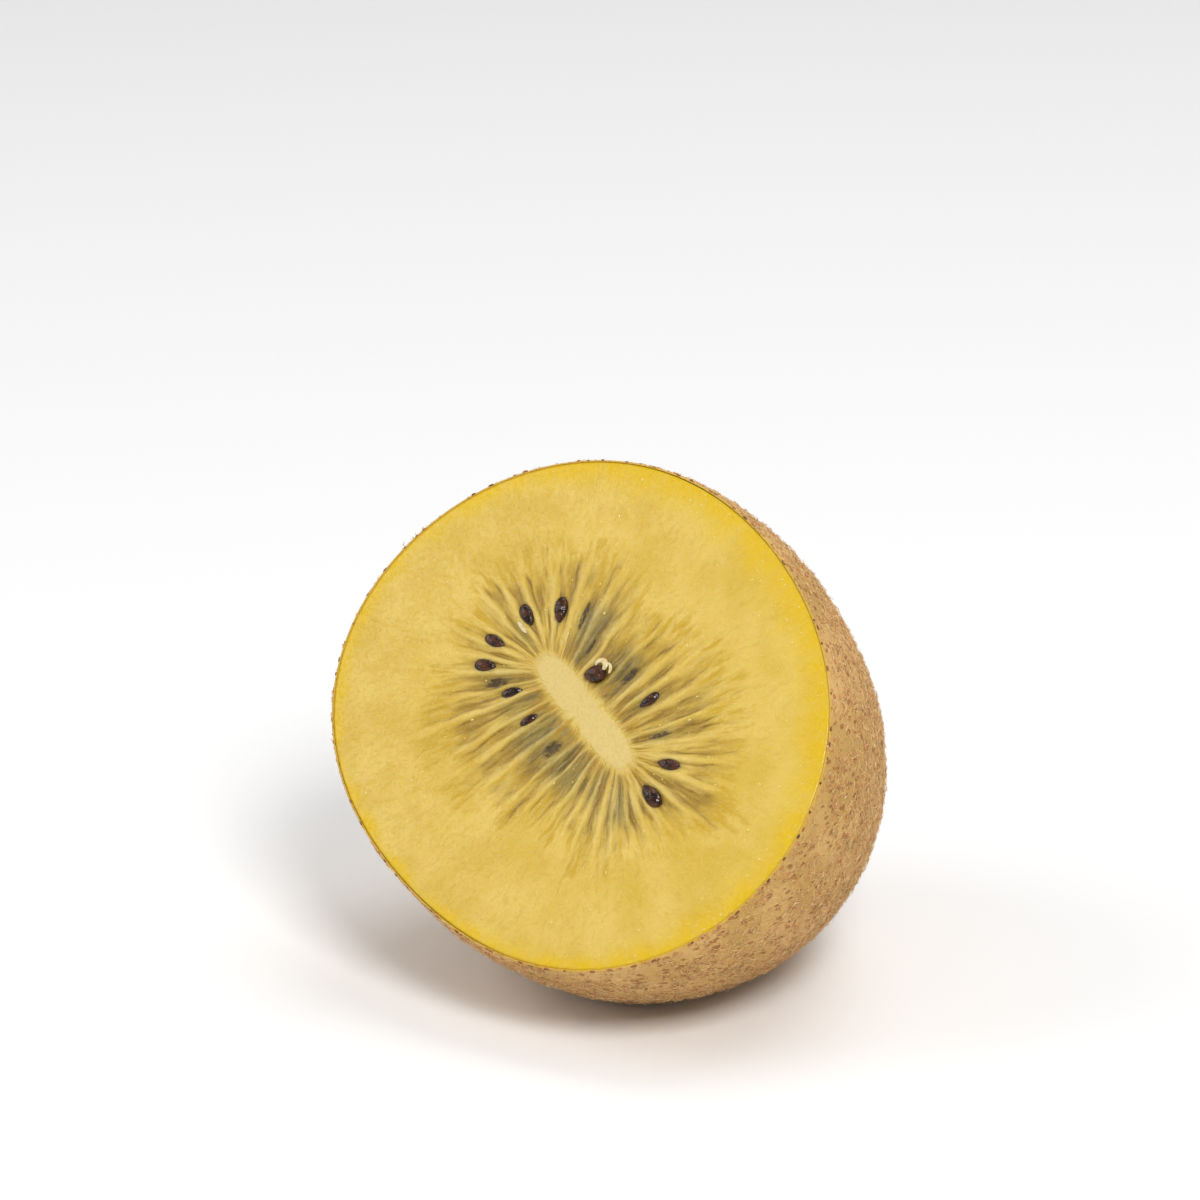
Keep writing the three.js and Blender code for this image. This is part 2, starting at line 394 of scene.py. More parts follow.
WARTS = 5000
WART_LENGTH = (0.24, 0.60)
WART_SLIMNESS = 0.55
WART_HEIGHT = 0.18
WART_SWING = (0.6, 1.5)
WART_SHADE = (0.35, 1)
# The row at the cut: their number, how far below the cut they sit, and their sizes and shades
CUT_WARTS = 84
CUT_WART_DEPTH = (-0.05, 0.16)
CUT_WART_LENGTH = (0.28, 0.70)
CUT_WART_WIDTH = 0.45
CUT_WART_HEIGHT = 0.20
CUT_WART_SHADE = (0, 0.3)


def frames_on_skin(turn, climb):
    """Points of the skin's outside, the directions round, along and out of it, and the area there."""
    step = 0.004
    round_it = side(turn + step, climb, 0.0, 0.0) - side(turn - step, climb, 0.0, 0.0)
    along_it = side(turn, climb, 0.0, 0.0) - side(turn, climb - step, 0.0, 0.0)
    out = np.cross(round_it, along_it)
    area = np.linalg.norm(out, axis=1)
    unit = [d / np.linalg.norm(d, axis=1)[:, None] for d in (round_it, along_it, out)]
    return peel_outside(turn, climb), *unit, area


def on_skin(count, rng):
    """Random points spread evenly over the skin's outside, with the directions round, along and out of it."""
    turn = rng.uniform(0, 2 * math.pi, 4 * count)
    *found, area = frames_on_skin(turn, rng.uniform(0.02, 1, 4 * count))
    chosen = rng.choice(4 * count, count, replace=False, p=area / area.sum())
    return [values[chosen] for values in found]


def strewn(name, pattern, points, shades):
    """One mesh of many copies of a small pattern, with their corners given, and each with its shade."""
    pattern.verts.index_update()
    corners = len(pattern.verts)
    faces = [[v.index for v in face.verts] for face in pattern.faces]
    all_faces = [[k * corners + v for v in face] for k in range(len(points)) for face in faces]
    mesh = bpy.data.meshes.new(name)
    mesh.from_pydata(settled(off_floor(points.reshape(-1, 3), 0)), [], all_faces)
    mesh.shade_smooth()
    layer = mesh.attributes.new("shade", "FLOAT", "POINT")
    layer.data.foreach_set("value", np.repeat(shades, corners))
    return on_stage(name, mesh)


rng = np.random.default_rng(11)
bead = bmesh.new()
bmesh.ops.create_uvsphere(bead, u_segments=6, v_segments=4, radius=0.5)
bead_shape = np.array([v.co for v in bead.verts])


def beads(root, round_it, along_it, out, length, width, height):
    """The corners of a bead at each root, with its three axes that long."""
    axes = np.stack([round_it * length[:, None], along_it * width[:, None], out * height[:, None]], axis=1)
    return root[:, None, :] + np.einsum("vk,nkc->nvc", bead_shape, axes)


tufts = on_skin(WARTS, rng)
length = rng.uniform(*WART_LENGTH, WARTS)
width = length * rng.uniform(WART_SLIMNESS, 1, WARTS)
strewn_warts = beads(*tufts, length, width, WART_HEIGHT * rng.uniform(*WART_SWING, WARTS))
turn = (np.arange(CUT_WARTS) + rng.uniform(-0.45, 0.45, CUT_WARTS)) * 2 * math.pi / CUT_WARTS
depth = rng.uniform(*CUT_WART_DEPTH, CUT_WARTS)
climb = (2 / math.pi * np.arccos(np.maximum(0, depth) / HALF_LENGTH)) ** (1 / STEM_CROWDING)
length = rng.uniform(*CUT_WART_LENGTH, CUT_WARTS)
height = np.full(CUT_WARTS, CUT_WART_HEIGHT)
cut_warts = beads(*frames_on_skin(turn, climb)[:4], length, CUT_WART_WIDTH * length**0.5, height)
shades = np.concatenate([rng.uniform(*WART_SHADE, WARTS), rng.uniform(*CUT_WART_SHADE, CUT_WARTS)])
warts = strewn("skin_warts", bead, np.concatenate([strewn_warts, cut_warts]), shades)

WART_DARK = (0.110, 0.036, 0.012)
WART_RED = (0.450, 0.175, 0.048)
WART_PALE = (0.620, 0.335, 0.120)


def dry_shade(tree, dark, red, pale):
    """Colours of dry hair and cork, by each copy's own shade and with fine blotches of the red one."""
    inputs = {"Shade": attribute(tree, "shade", "Fac"), "Coordinates": object_place(tree)}
    inputs.update({"Dark": dark, "Red": red, "Pale": pale})
    return add(tree, "Group", inputs, node_tree=dry).outputs[0]


dry, given, result = effect(
    "Dry shades", ("Colour", "Color"), Shade=("Float", 0.5), Coordinates=("Vector", (0, 0, 0)),
    Dark=("Color", (0, 0, 0, 1)), Red=("Color", (1, 0, 0, 1)), Pale=("Color", (1, 1, 1, 1)),
)
colour = mixed(dry, spread(dry, given["Shade"], 0.0, 0.4), given["Dark"], given["Red"])
colour = mixed(dry, spread(dry, given["Shade"], 0.3, 1.0), colour, given["Pale"])
blotches = times(dry, patches(dry, given["Coordinates"], 0.0004, 0.45, 0.75), 0.5)
dry.links.new(mixed(dry, blotches, colour, given["Red"]), result)

wart_material, tree, shader = material("kiwi wart")
colour = dry_shade(tree, WART_DARK, WART_RED, WART_PALE)
feed(tree, shader, {"Base Color": colour, "Roughness": 0.65, "Specular IOR Level": 0.3})
warts.data.materials.append(wart_material)

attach(warts, "root")

# Fuzz
# Short curled hairs grow in tufts round the lenticels, and fewer between them. They are stiff and dry, lie
# close to the skin and catch the light, and most are under a millimetre long.

HAIRS = 10000
HAIR_LOTS = 4
HAIR_IN_TUFT = 0.65
TUFT_WIDTH = 0.32
HAIR_LENGTH = (0.35, 1.10)
# How short they are at the cut, as a share, and over how many millimetres they get longer by one
HAIR_NEAR_CUT = (0.45, 9.0)
HAIR_ROOT_DEPTH = 0.03
HAIR_THICKNESS = 0.045
HAIR_THICKNESS_SWING = (0.7, 1.2)
HAIR_LIFT = (0.10, 0.80)
HAIR_BEND = 0.9
HAIR_CURL = 0.28
HAIR_SHADE = (0.1, 1)

rng = np.random.default_rng(23)
spike = bmesh.new()
bmesh.ops.create_cone(spike, cap_ends=True, segments=3, radius1=1, radius2=0.02, depth=1)
for height in (-0.15, 0.2):
    everything = spike.verts[:] + spike.edges[:] + spike.faces[:]
    bmesh.ops.bisect_plane(spike, geom=everything, plane_co=(0, 0, height), plane_no=(0, 0, 1))
bmesh.ops.remove_doubles(spike, verts=spike.verts, dist=0.05)
spike_shape = np.array([v.co for v in spike.verts]) + (0, 0, 0.5)
x, y, z = (spike_shape[None, :, k, None] for k in range(3))
# The cone narrows as 1 - z, so with this factor a hair narrows as 1 - z**3 and stays full almost to its tip
fullness = 1 + z + z**2


def hairs(count):
    """The corners of so many hairs, most of them in the warts' tufts."""
    lone = on_skin(count, rng)
    tuft = rng.integers(0, WARTS, count)
    in_tuft = (rng.uniform(0, 1, count) < HAIR_IN_TUFT)[:, None]
    root, round_it, along_it, out = (np.where(in_tuft, t[tuft], l) for t, l in zip(tufts, lone))
    offset = rng.normal(0, TUFT_WIDTH, (2, count, 1)) * in_tuft
    root = root + round_it * offset[0] + along_it * offset[1]
    heading = np.where(in_tuft, np.arctan2(offset[1], offset[0]), 0) + rng.normal(0, 1.0, (count, 1))
    heading = np.where(in_tuft, heading, rng.uniform(0, 2 * math.pi, (count, 1)))
    lift = rng.uniform(*HAIR_LIFT, (count, 1))
    flat_way = round_it * np.cos(heading) + along_it * np.sin(heading)
    across = round_it * -np.sin(heading) + along_it * np.cos(heading)
    length = rng.uniform(*HAIR_LENGTH, (count, 1))
    length = length * np.clip(HAIR_NEAR_CUT[0] - root[:, 2:] / HAIR_NEAR_CUT[1], HAIR_NEAR_CUT[0], 1)
    growth = flat_way + out * lift
    growth = growth / np.linalg.norm(growth, axis=1)[:, None] * length
    bend = (across * rng.normal(0, HAIR_BEND, (count, 1)) - out * 0.3 * lift) * length
    curl = across * rng.normal(0, HAIR_CURL, (count, 1)) * length
    thick = HAIR_THICKNESS * rng.uniform(*HAIR_THICKNESS_SWING, (count, 1, 1)) * fullness
    return (
        (root - HAIR_ROOT_DEPTH * out)[:, None, :]
        + growth[:, None, :] * z
        + bend[:, None, :] * z**2 * 0.6
        + curl[:, None, :] * np.sin(z * 2 * math.pi)
        + across[:, None, :] * x * thick
        + out[:, None, :] * y * thick
    )


HAIR_BROWN = (0.400, 0.170, 0.065)
HAIR_RED = (0.680, 0.350, 0.130)
HAIR_PALE = (0.920, 0.660, 0.320)

fuzz_material, tree, shader = material("kiwi fuzz")
colour = dry_shade(tree, HAIR_BROWN, HAIR_RED, HAIR_PALE)
feed(tree, shader, {"Base Color": colour, "Roughness": 0.5, "Specular IOR Level": 0.35})

for lot in range(1, HAIR_LOTS + 1):
    fuzz = strewn(f"skin_fuzz_{lot}", spike, hairs(HAIRS), rng.uniform(*HAIR_SHADE, HAIRS) ** 0.5)
    fuzz.data.materials.append(fuzz_material)
    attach(fuzz, "root")
spike.free()

# Flesh
# The ripe golden flesh, cut clean and still wet. Pale partitions run out from the core between pockets of
# clear, brownish pulp where the seeds sit, and fade into the even outer flesh. The rim under the skin is
# the deepest yellow.

CORE_CENTRE = (0.65, -0.05)
CORE_HALF = (8.7, 2.3)
CORE_ROUNDNESS = 0.72
FLESH_AROUND = 700
# The hollow that the core sits in
HOLLOW_ROWS = 3
HOLLOW_DEPTH = 1.2
FACE_ROWS = 106
SIDE_ROWS = 22
# How far the flesh reaches in under the core, as a share of the way to the skin, and where it drops there
UNDER_CORE = -0.06
CORE_LEDGE = (0.040, 0.06, 0.4)
FACE_SWELL = 0.22
POCKET_DEPTH = 0.12
CLEAR_DEPTH = 0.04
WALL_RISE = 0.05
# The height and the size of the cut's unevenness
FACE_WAVES = (0.12, 6.0)
FACE_RIPPLES = (0.02, 1.1)
# The rim's least and greatest width, and where it is widest
RIM_WIDTH = (1.2, 4.6)
RIM_WIDEST = math.radians(40)
# The walls between pockets: their width at the core, how much wider they get outwards, their strength, and
# how far short of the pockets' reach they end. A pocket's strength and its end vary in the same way.
WALL_WIDTH = (0.13, 0.30)
WALL_WIDENING = 0.55
WALL_STRENGTH = (0.35, 0.95)
WALL_END = (-0.16, 0.02)
WALL_SHIFT = (-1.2, 1.2)
POCKET_STRENGTH = (0.6, 1.1)
POCKET_END = (-0.07, 0.05)
# Seed pockets, by the bearing of their ray in degrees from the core's long way
POCKETS = (
    0, 13, 27, 39, 50, 62, 74, 82, 89, 99, 112, 127, 144, 156, 169, 177, 186, 196, 204, 213,
    225, 234, 245, 256, 264, 272, 281, 290, 299, 308, 317, 326, 335, 344, 352,
)
# How far out the pockets reach, as a share of the way from the core to the skin, by bearing
REACH = (
    (2, 0.57), (16, 0.64), (38, 0.555), (68, 0.53), (104, 0.49), (126, 0.53), (140, 0.59), (172, 0.59),
    (190, 0.51), (203, 0.54), (217, 0.50), (237, 0.53), (272, 0.56), (292, 0.48), (313, 0.49), (330, 0.52),
    (347, 0.50),
)
# Wedges of grey, clear pulp: bearing, half width in degrees, how far out, and strength
CLEAR_PULP = (
    (119, 9, 0.30, 1.0), (92, 6, 0.24, 0.9), (266, 9, 0.24, 0.8), (285, 14, 0.22, 0.9), (334, 8, 0.28, 0.8),
    (224, 8, 0.26, 0.6), (245, 7, 0.22, 0.6), (50, 6, 0.20, 0.6), (180, 5, 0.22, 0.5), (309, 8, 0.20, 0.6),
    (74, 6, 0.20, 0.5),
)
# Seeds that lie deeper and show through the pulp: bearing, share of the way out, length, width, darkness
SUNKEN_SEEDS = (
    (225.1, 0.187, 2.3, 0.95, 0.9), (272, 0.114, 2.2, 1.3, 0.9), (89, 0.152, 2.2, 0.75, 0.95),
    (50.2, 0.139, 2.4, 0.6, 0.85), (127, 0.223, 3.0, 0.55, 0.95), (113, 0.11, 2.2, 0.35, 0.9),
    (300, 0.13, 1.8, 0.5, 0.4),
)
# Seeds on the cut: the same four values, then degrees turned off the ray and height over the cut
SEEDS = (
    (169.3, 0.223, 2.55, 1.42, 0, 0.00),
    (143.7, 0.217, 2.75, 1.42, 0, 0.05),
    (196.3, 0.238, 2.50, 1.30, 0, 0.00),
    (213.4, 0.244, 2.45, 1.42, 0, 0.00),
    (234.2, 0.128, 2.40, 1.15, 0, -0.10),
    (255.9, 0.120, 2.10, 0.95, 0, -0.14),
    (98.7, 0.041, 2.40, 1.80, -45, 0.22),
    (74.2, 0.163, 2.45, 1.05, 0, -0.14),
    (27.0, 0.178, 2.60, 1.25, 0, -0.06),
    (0.1, 0.187, 2.95, 1.60, 0, 0.08),
)


def core_edge(turn, extra=0.0):
    """Points of the core's outline on the cut face, wider by extra."""
    along = (CORE_HALF[0] + extra) * np.sign(np.cos(turn)) * np.abs(np.cos(turn)) ** CORE_ROUNDNESS
    across = (CORE_HALF[1] + extra) * np.sign(np.sin(turn)) * np.abs(np.sin(turn)) ** CORE_ROUNDNESS
    x = CORE_CENTRE[0] + along * math.cos(CORE_BEARING) - across * math.sin(CORE_BEARING)
    y = CORE_CENTRE[1] + along * math.sin(CORE_BEARING) + across * math.cos(CORE_BEARING)
    return np.stack([x, y, 0 * x], axis=1)


def smooth(x, low, high):
    t = np.clip((x - low) / (high - low), 0, 1)
    return t * t * (3 - 2 * t)


def apart(turn, bearing):
    """The angle in degrees from a bearing in degrees to a turn in radians, from -180 to 180."""
    return (np.degrees(turn) - bearing + 180) % 360 - 180


def on_ray(turn, share):
    """Points of the cut face on the rays at those turns, a share of the way from the core to the skin."""
    start = core_edge(turn)
    end = side(turn, np.ones_like(turn), PEEL, 0.0)
    return start + (end - start) * share[:, None]


def lying_on_ray(bearing, share):
    """A place on the cut face and the direction of the ray there, in radians."""
    place, further = on_ray(np.radians([bearing] * 2), np.array([share, share + 0.05]))
    return place, math.atan2(further[1] - place[1], further[0] - place[0])


def within(share, start, end):
    """1 from where a zone has started to where it begins to end, 0 outside it, and soft between."""
    return smooth(share, *start) * (1 - smooth(share, *end))


def clear_pulp(turn, share, wander, wall):
    """How clear and grey the pulp is, from 0 to 1."""
    clear = np.zeros_like(turn)
    for bearing, width, far, most in CLEAR_PULP:
        near = bell(apart(turn, bearing) + 3 * wander, 0, width) * most
        clear = np.maximum(clear, near * (1 - smooth(share, far - 0.08, far + 0.06)))
    return clear * smooth(share, -0.02, 0.03) * (1 - 0.45 * wall)


def seed_shadow(points):
    """How dark the flesh is by a seed that lies in it, from 0 to 1."""
    dark = np.zeros(len(points))
    shown = [(*seed[:4], 0.45, math.radians(seed[4])) for seed in SEEDS]
    for bearing, far, length, width, most, twist in shown + [(*seed, 0.0) for seed in SUNKEN_SEEDS]:
        place, heading = lying_on_ray(bearing, far)
        x, y = (points - place)[:, :2].T
        along = x * math.cos(heading + twist) + y * math.sin(heading + twist)
        across = y * math.cos(heading + twist) - x * math.sin(heading + twist)
        from_middle = np.hypot(along / length, across / width) * 2 + uneven(points + 90, 0.25, 0.5)
        dark = np.maximum(dark, most * (1 - smooth(from_middle, 0.75, 1.35)))
    return dark


def rim_yellow(turn, share, points):
    """How yellow the flesh is towards the skin, from 0 to 1."""
    way = np.linalg.norm(on_ray(turn, np.ones_like(turn)) - core_edge(turn), axis=1)
    fullest = 0.5 + 0.5 * np.cos(turn + CORE_BEARING - RIM_WIDEST)
    width = RIM_WIDTH[0] + (RIM_WIDTH[1] - RIM_WIDTH[0]) * fullest
    to_skin = (1 - share) * way + uneven(points, 0.9, 2.5)
    return (1 - smooth(to_skin, 0, 1.35 * width)) ** 1.6


def pulp(turn, share, points):
    """What the flesh is like at places on the cut face, each kind from 0 to 1."""
    rng = np.random.default_rng(5)
    step = 0.002
    stretch = np.linalg.norm(on_ray(turn + step, share) - on_ray(turn - step, share), axis=1) / (2 * step)
    wander = uneven(points, 0.30, 4.0) + uneven(points + 30, 0.06, 0.8)
    drawn_out = np.stack([np.cos(turn) * 15, np.sin(turn) * 15, share * 6], axis=1)
    streaks = uneven(drawn_out, 1.2, 1.0) + uneven(drawn_out * 2.3, 0.6, 1.0)
    reach = np.interp(np.degrees(turn) % 360, *zip(*REACH), period=360) + uneven(points + 60, 0.10, 2.2)
    walls = np.array([(p + (POCKETS + (360,))[k + 1]) / 2 for k, p in enumerate(POCKETS)])
    count = len(walls)
    walls = walls + rng.uniform(*WALL_SHIFT, count)
    off = np.radians(apart(turn[:, None], walls[None, :])) * stretch[:, None] + wander[:, None]
    nearest = np.abs(off).argmin(axis=1)
    from_wall = np.abs(off).min(axis=1)
    pocket = (nearest + (off[np.arange(len(turn)), nearest] > 0)) % count
    strength = np.clip(rng.uniform(*POCKET_STRENGTH, count)[pocket] + 0.9 * streaks, 0.15, 1)
    end = reach + rng.uniform(*POCKET_END, count)[pocket]
    wall_end = reach + rng.uniform(*WALL_END, count)[nearest]
    wall_width = rng.uniform(*WALL_WIDTH, count)[nearest] + WALL_WIDENING * np.clip(share, 0, 1)
    wall_width = wall_width * np.clip(1 - 0.9 * uneven(drawn_out + 40, 1.0, 1.0), 0.5, 1.6)
    wall_here = bell(from_wall, 0, wall_width)
    wall = wall_here * within(share, (-0.03, 0), (wall_end - 0.25, wall_end + 0.02))
    wall = wall * rng.uniform(*WALL_STRENGTH, count)[nearest]
    deep = (1 - wall_here) * strength * within(share, (-0.03, 0.02), (end - 0.26, end))
    edge = np.clip(0.5 + streaks, 0, 1) * bell(from_wall, wall_width * 1.4 + 0.05, 0.09)
    edge = edge * within(share, (-0.02, 0.02), (end - 0.16, end + 0.02))
    tips = within(share, (end - 0.30, end - 0.10), (end - 0.04, end + 0.06))
    clear = clear_pulp(turn, share, wander, wall)
    return deep, clear, wall, edge, tips, seed_shadow(points), rim_yellow(turn, share, points)


def cut_surface(turn, share):
    """Points of the cut flesh with its swell, its pockets and its partitions, and what it is like there."""
    points = on_ray(turn, share)
    kinds = pulp(turn, share, points)
    deep, clear, wall = kinds[:3]
    inside = np.sin(math.pi * np.clip(share, 0, 1))
    relief = WALL_RISE * wall - POCKET_DEPTH * deep - CLEAR_DEPTH * clear
    points[:, 2] = FACE_SWELL * inside + relief * smooth(share, 0, 0.08)
    points[:, 2] += (uneven(points, *FACE_WAVES) + uneven(points, *FACE_RIPPLES)) * inside**0.3
    points[:, 2] -= CORE_LEDGE[2] * smooth(-share, *CORE_LEDGE[:2])
    return points, kinds


def flesh_rows(turn, row):
    """Under the core, out over the cut face, and down the side to the stem end."""
    face = np.clip((row - HOLLOW_ROWS) / FACE_ROWS, 0, 1)
    share = UNDER_CORE + (1 - UNDER_CORE) * face**1.1
    climb = 1 - np.clip((row - HOLLOW_ROWS - FACE_ROWS) / SIDE_ROWS, 0, 1)
    points, (deep, clear, wall, edge, tips, dark, rim) = cut_surface(turn, share)
    under = row < HOLLOW_ROWS
    shrink = (row[under] / HOLLOW_ROWS)[:, None]
    points[under] = (*CORE_CENTRE, -HOLLOW_DEPTH) + (points[under] - (*CORE_CENTRE, 0)) * shrink
    down_side = row > HOLLOW_ROWS + FACE_ROWS
    points[down_side] = rested(side(turn[down_side], climb[down_side], PEEL, 0.0), PEEL)
    rim = np.where(down_side, 1, rim)
    return points, {
        "ray": (np.cos(turn), np.sin(turn), share),
        "pulp": (deep, clear, wall),
        "pulp_ends": (edge, tips, dark),
        "rim": (rim, rim, rim),
    }


flesh = wrapped("flesh", FLESH_AROUND, HOLLOW_ROWS + FACE_ROWS + SIDE_ROWS, flesh_rows)

FLESH_PALE = (0.690, 0.500, 0.110)
FLESH_GOLD = (0.620, 0.420, 0.060)
FLESH_DEEP = (0.520, 0.325, 0.025)
RIM_YELLOW = (0.685, 0.450, 0.010)
PULP_GOLD = (0.375, 0.235, 0.032)
PULP_BROWN = (0.215, 0.115, 0.010)
PULP_GREY = (0.225, 0.170, 0.045)
PULP_DARK = (0.045, 0.026, 0.008)
TIP_GOLD = (0.540, 0.340, 0.025)
PARTITION = (0.640, 0.490, 0.165)
CORE_CREAM = (0.640, 0.470, 0.150)
HEART_BROWN = (0.430, 0.235, 0.018)
FLESH_PATCH = 0.005
CELL_SIZE = 0.0005
CORE_ROUGHNESS = 0.5
# Light gets a little way into flesh and core, and red light the furthest
JUICY = {
    "Specular IOR Level": 0.3,
    "Subsurface Weight": 0.25,
    "Subsurface Radius": (1.0, 0.6, 0.15),
    "Subsurface Scale": 0.0009,
}


def along_rays(tree, ray, around, outwards, least, most, detail=3.0):
    """Streaks that run out along the rays: so many to a radian, and so many from core to skin."""
    stretched = add(tree, "Mapping", {"Vector": ray, "Scale": (around, around, outwards)}).outputs[0]
    return patches(tree, stretched, 1.0, least, most, detail)


def heart_blend(tree, ray, own, cream):
    """The surface's own colour, frayed into cream towards the core, with brown fibres where they meet."""
    inputs = {"Ray": ray, "Own colour": own, "Cream": cream, "Fibres": HEART_BROWN}
    return add(tree, "Group", inputs, node_tree=heart).outputs[0]


heart, given, result = effect(
    "Heart blend", ("Colour", "Color"), Ray=("Vector", (0, 0, 0)), Own_colour=("Color", (1, 1, 1, 1)),
    Cream=("Color", (1, 1, 1, 1)), Fibres=("Color", (0, 0, 0, 1)),
)
teeth = along_rays(heart, given["Ray"], 30, 12, 0.2, 0.8)
outwards = reckoned(heart, "ADD", parts(heart, given["Ray"])[2], times(heart, teeth, 0.05))
threads = along_rays(heart, given["Ray"], 40, 8, 0.46, 0.60)
near_core = times(heart, spread(heart, outwards, 0.15, 0.03), spread(heart, outwards, -0.02, 0.02))
threads = times(heart, times(heart, threads, near_core), 0.75)
colour = mixed(heart, threads, given["Own colour"], given["Fibres"])
heart.links.new(mixed(heart, spread(heart, outwards, 0.022, -0.018), colour, given["Cream"]), result)

flesh_material, tree, shader = material("kiwi flesh")
place = object_place(tree)
ray = attribute(tree, "ray")
deep, clear, wall = parts(tree, attribute(tree, "pulp"))
edge, tips, dark = parts(tree, attribute(tree, "pulp_ends"))
rim = parts(tree, attribute(tree, "rim"))[0]
wavy_ray = bent_by(tree, ray, 0.07, 0.04)
broad = along_rays(tree, ray, 13, 4, 0.35, 0.65)
fine = along_rays(tree, wavy_ray, 30, 6, 0.42, 0.66)
fibres = along_rays(tree, wavy_ray, 36, 14, 0.50, 0.72)
cells = patches(tree, place, CELL_SIZE, 0.45, 0.70)
colour = mixed(tree, patches(tree, place, FLESH_PATCH, 0.3, 0.7, 4.0), FLESH_PALE, FLESH_GOLD)
colour = mixed(tree, times(tree, fibres, 0.28), colour, FLESH_DEEP)
colour = mixed(tree, times(tree, cells, 0.30), colour, FLESH_GOLD)
colour = mixed(tree, times(tree, rim, spread(tree, broad, -1.6, 1.0)), colour, RIM_YELLOW)
colour = mixed(tree, times(tree, deep, spread(tree, broad, -0.6, 0.5)), colour, PULP_GOLD)
colour = mixed(tree, times(tree, deep, times(tree, fine, 0.6)), colour, PULP_BROWN)
colour = mixed(tree, times(tree, tips, fine), colour, TIP_GOLD)
colour = mixed(tree, clear, colour, PULP_GREY)
colour = mixed(tree, times(tree, clear, times(tree, fine, 0.6)), colour, PULP_DARK)
colour = mixed(tree, times(tree, edge, spread(tree, broad, -0.3, 0.8)), colour, PULP_BROWN)
colour = mixed(tree, times(tree, wall, spread(tree, broad, 1.7, -0.4)), colour, PARTITION)
colour = mixed(tree, times(tree, dark, spread(tree, cells, 1.6, 0.0)), colour, PULP_DARK)
colour = heart_blend(tree, ray, colour, CORE_CREAM)
tree.links.new(colour, shader.inputs["Base Color"])
normal = raised(tree, fibres, 0.25, 0.00008)
normal = raised(tree, times(tree, deep, fine), 0.35, 0.00015, normal)
normal = raised(tree, cells, 0.4, 0.00007, normal)
dry_heart = times(tree, spread(tree, parts(tree, ray)[2], 0.03, -0.03), CORE_ROUGHNESS)
roughness = reckoned(tree, "MAXIMUM", spread(tree, cells, -1.3, 3.0), dry_heart)
feed(tree, shader, {"Base Color": colour, "Normal": normal, "Roughness": roughness, **JUICY})
flesh.data.materials.append(flesh_material)

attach(flesh, "root")
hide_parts("flesh_with_seeds")

# Core
# The pale, dense heart of the fruit. It is grown into the flesh round it, stands a little proud of the cut
# and has a dry, mealy surface.

CORE_AROUND = 220
CORE_DOME_ROWS = 26
CORE_DEPTH = 1.1
# It is flat on top, and its frayed edge is drawn in from the outline that the rays start from and sunk
CORE_RISE = 0.05
CORE_SUNK_EDGE = 0.03
CORE_FLATNESS = 8
CORE_DRAWN_IN = -0.35
CORE_FRAY = (0.25, 0.9)
CORE_LUMPS = (0.03, 0.9)


def core_rows(turn, row):
    """From the middle of its top, over its soft edge, and down to a closed bottom."""
    outwards = np.clip(row / CORE_DOME_ROWS, 0, 1) ** 0.8
    centre = np.array([*CORE_CENTRE, 0.0])
    edge = core_edge(turn, CORE_DRAWN_IN)
    fray = uneven(edge, *CORE_FRAY)[:, None] * outward(edge)
    edge = edge + fray * outwards[:, None] ** 3
    points = centre + (edge - centre) * outwards[:, None]
    points[:, 2] = CORE_RISE - (CORE_RISE + CORE_SUNK_EDGE) * outwards**CORE_FLATNESS
    points[:, 2] += uneven(points, *CORE_LUMPS) * (1 - outwards**4)
    below = row > CORE_DOME_ROWS
    points[below] = centre + (edge[below] - centre) * 0.8 * (row[below] == CORE_DOME_ROWS + 1)[:, None]
    points[below, 2] = -CORE_DEPTH
    to_skin = np.linalg.norm(on_ray(turn, np.ones_like(turn)) - core_edge(turn), axis=1)
    share = np.linalg.norm(edge - centre, axis=1) * (outwards - 1) / to_skin
    return points, {"ray": (np.cos(turn), np.sin(turn), share)}


core = wrapped("core", CORE_AROUND, CORE_DOME_ROWS + 2, core_rows)

CORE_PALE = (0.680, 0.515, 0.190)
CORE_MEAL = 0.0003

core_material, tree, shader = material("kiwi core")
meal = patches(tree, object_place(tree), CORE_MEAL, 0.35, 0.75, 3.0)
colour = heart_blend(tree, attribute(tree, "ray"), FLESH_PALE, mixed(tree, meal, CORE_PALE, CORE_CREAM))
normal = raised(tree, meal, 0.35, 0.00008)
feed(tree, shader, {"Base Color": colour, "Normal": normal, "Roughness": CORE_ROUGHNESS, **JUICY})
core.data.materials.append(core_material)

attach(core, "root")
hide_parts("core")

# Seeds
# Hard, dark brown seeds lie in the pockets with their points towards the core, half in the pulp. Their coats
# are finely pitted and wet with juice.

SEED_THICKNESS = 0.75
SEED_TAPER = 0.30
# How much a seed's coat is dented and pitted, and how finely along and across it
COAT_DENT = 0.05
COAT_FINENESS = (5, 9)
COAT_PITS = 2.6

